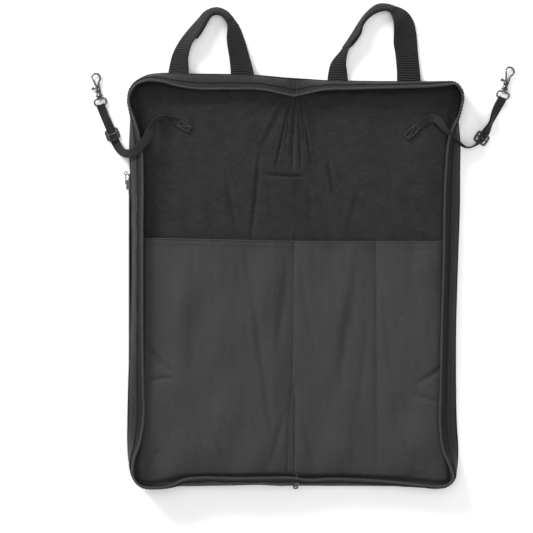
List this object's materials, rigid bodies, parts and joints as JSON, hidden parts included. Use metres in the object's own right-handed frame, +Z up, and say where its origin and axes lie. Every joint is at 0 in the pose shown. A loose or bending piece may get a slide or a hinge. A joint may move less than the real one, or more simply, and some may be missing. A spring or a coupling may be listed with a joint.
{
  "type": "drum stick bag",
  "caption": "Padded zip-up drum stick bag lying open like a book, with stitched stick pockets, webbing carrying handles and strap hooks that hang it from a floor tom.",
  "frame": {"origin": "middle of the right crease, on the surface that the open bag lies on", "axes": "+X across the bag to the right half's zip side, +Y along the bag towards the carrying handles, +Z up out of the open inside"},
  "size_m": [0.4988, 0.5717, 0.0343],
  "materials": {
    "shell_fabric": "coarse woven polyester",
    "padding_foam": "closed-cell foam",
    "brushed_lining": "brushed tricot with a soft sheen",
    "pocket_fabric": "plain woven polyester",
    "zip_tape": "woven zip tape",
    "zip_coil": "nylon coil",
    "handle_webbing": "ribbed webbing",
    "strap_webbing": "narrow ribbed webbing",
    "dark_metal": "gunmetal plating",
    "spring_steel": "plain steel"
  },
  "bodies": {
    "right_half": {"right_cover": "shell_fabric", "right_foam": "padding_foam", "right_lining": "brushed_lining", "right_gusset": "shell_fabric", "right_zip_tape": "zip_tape", "right_zip_coil": "zip_coil", "right_pocket_panel": "pocket_fabric", "right_strap_patch": "strap_webbing", "right_strap": "strap_webbing", "right_strap_eye": "dark_metal", "right_swivel_rivet": "dark_metal"},
    "spine": {"spine_cover": "shell_fabric", "spine_foam": "padding_foam", "spine_lining": "brushed_lining", "spine_gusset_top": "shell_fabric", "spine_gusset_bottom": "shell_fabric", "spine_pocket_panel": "pocket_fabric", "zip_end_tape": "zip_tape", "zip_end_coil": "zip_coil", "zip_end_stop": "dark_metal"},
    "left_half": {"left_cover": "shell_fabric", "left_foam": "padding_foam", "left_lining": "brushed_lining", "left_gusset": "shell_fabric", "left_zip_tape": "zip_tape", "left_zip_coil": "zip_coil", "left_pocket_panel": "pocket_fabric", "left_strap_patch": "strap_webbing", "left_strap": "strap_webbing", "left_strap_eye": "dark_metal", "left_swivel_rivet": "dark_metal", "accessory_pocket_panel": "shell_fabric", "accessory_pocket_gusset": "shell_fabric", "accessory_zip_tape": "zip_tape", "accessory_zip_coil": "zip_coil", "accessory_zip_stops": "dark_metal"},
    "main_slider": {"zip_slider": "dark_metal"},
    "main_pull": {"zip_pull": "dark_metal"},
    "side_slider": {"accessory_zip_slider": "dark_metal"},
    "side_pull": {"accessory_zip_pull": "dark_metal"},
    "right_handle_loop": {"right_handle": "handle_webbing"},
    "right_buckle": {"right_tri_glide": "dark_metal"},
    "right_hook_swivel": {"right_hook": "dark_metal", "right_gate_pin": "dark_metal", "right_gate_spring": "spring_steel"},
    "right_gate_arm": {"right_gate": "dark_metal"},
    "left_handle_loop": {"left_handle": "handle_webbing"},
    "left_buckle": {"left_tri_glide": "dark_metal"},
    "left_hook_swivel": {"left_hook": "dark_metal", "left_gate_pin": "dark_metal", "left_gate_spring": "spring_steel"},
    "left_gate_arm": {"left_gate": "dark_metal"}
  },
  "joints": [
    {"name": "right_fold", "type": "hinge", "parent": "right_half", "child": "spine", "pos_m": [0, 0, 0], "axis": [0, 1, 0], "range_deg": [0, 80.91]},
    {"name": "left_fold", "type": "hinge", "parent": "spine", "child": "left_half", "pos_m": [-0.05, 0, 0.008], "axis": [0, 1, 0], "range_deg": [0, 99.09]},
    {"name": "zip_slider_run", "type": "slide", "parent": "spine", "child": "main_slider", "axis": [0.1214, 0.6401, 0.7586], "range_m": [0, 0.006]},
    {"name": "zip_pull_flip", "type": "hinge", "parent": "main_slider", "child": "main_pull", "pos_m": [-0.02213, -0.23737, 0.02194], "axis": [-0.9874, 0, 0.158], "range_deg": [0, 150]},
    {"name": "side_slider_run", "type": "slide", "parent": "left_half", "child": "side_slider", "axis": [0, -1, 0], "range_m": [0, 0.255]},
    {"name": "side_pull_flip", "type": "hinge", "parent": "side_slider", "child": "side_pull", "pos_m": [-0.22325, 0.1145, 0.0045], "axis": [0, 0, 1], "range_deg": [0, 165]},
    {"name": "right_handle_lift", "type": "hinge", "parent": "right_half", "child": "right_handle_loop", "pos_m": [0.075, 0.2436, 0.0011], "axis": [-1, 0, 0], "range_deg": [-100, 0]},
    {"name": "right_buckle_slide", "type": "slide", "parent": "right_half", "child": "right_buckle", "axis": [0.5429, 0.8398, 0], "range_m": [0, 0.006]},
    {"name": "right_hook_turn", "type": "hinge", "parent": "right_half", "child": "right_hook_swivel", "pos_m": [0.2214, 0.2182, 0.0023], "axis": [0.2706, 0.9627, 0], "continuous": true},
    {"name": "right_gate_open", "type": "hinge", "parent": "right_hook_swivel", "child": "right_gate_arm", "pos_m": [0.22421, 0.23226, 0.0023], "axis": [0, 0, -1], "range_deg": [0, 13], "stiffness_Nm_per_rad": 0.02, "springref_deg": -11.46},
    {"name": "left_handle_lift", "type": "hinge", "parent": "left_half", "child": "left_handle_loop", "pos_m": [-0.122, 0.2436, 0.0091], "axis": [-1, 0, 0], "range_deg": [-100, 0]},
    {"name": "left_buckle_slide", "type": "slide", "parent": "left_half", "child": "left_buckle", "axis": [-0.335, 0.9422, 0], "range_m": [0, 0.006]},
    {"name": "left_hook_turn", "type": "hinge", "parent": "left_half", "child": "left_hook_swivel", "pos_m": [-0.2533, 0.21, 0.0023], "axis": [-0.1857, 0.9826, 0], "continuous": true},
    {"name": "left_gate_open", "type": "hinge", "parent": "left_hook_swivel", "child": "left_gate_arm", "pos_m": [-0.25704, 0.22385, 0.0023], "axis": [0, 0, -1], "range_deg": [0, 13], "stiffness_Nm_per_rad": 0.02, "springref_deg": -11.46}
  ]
}
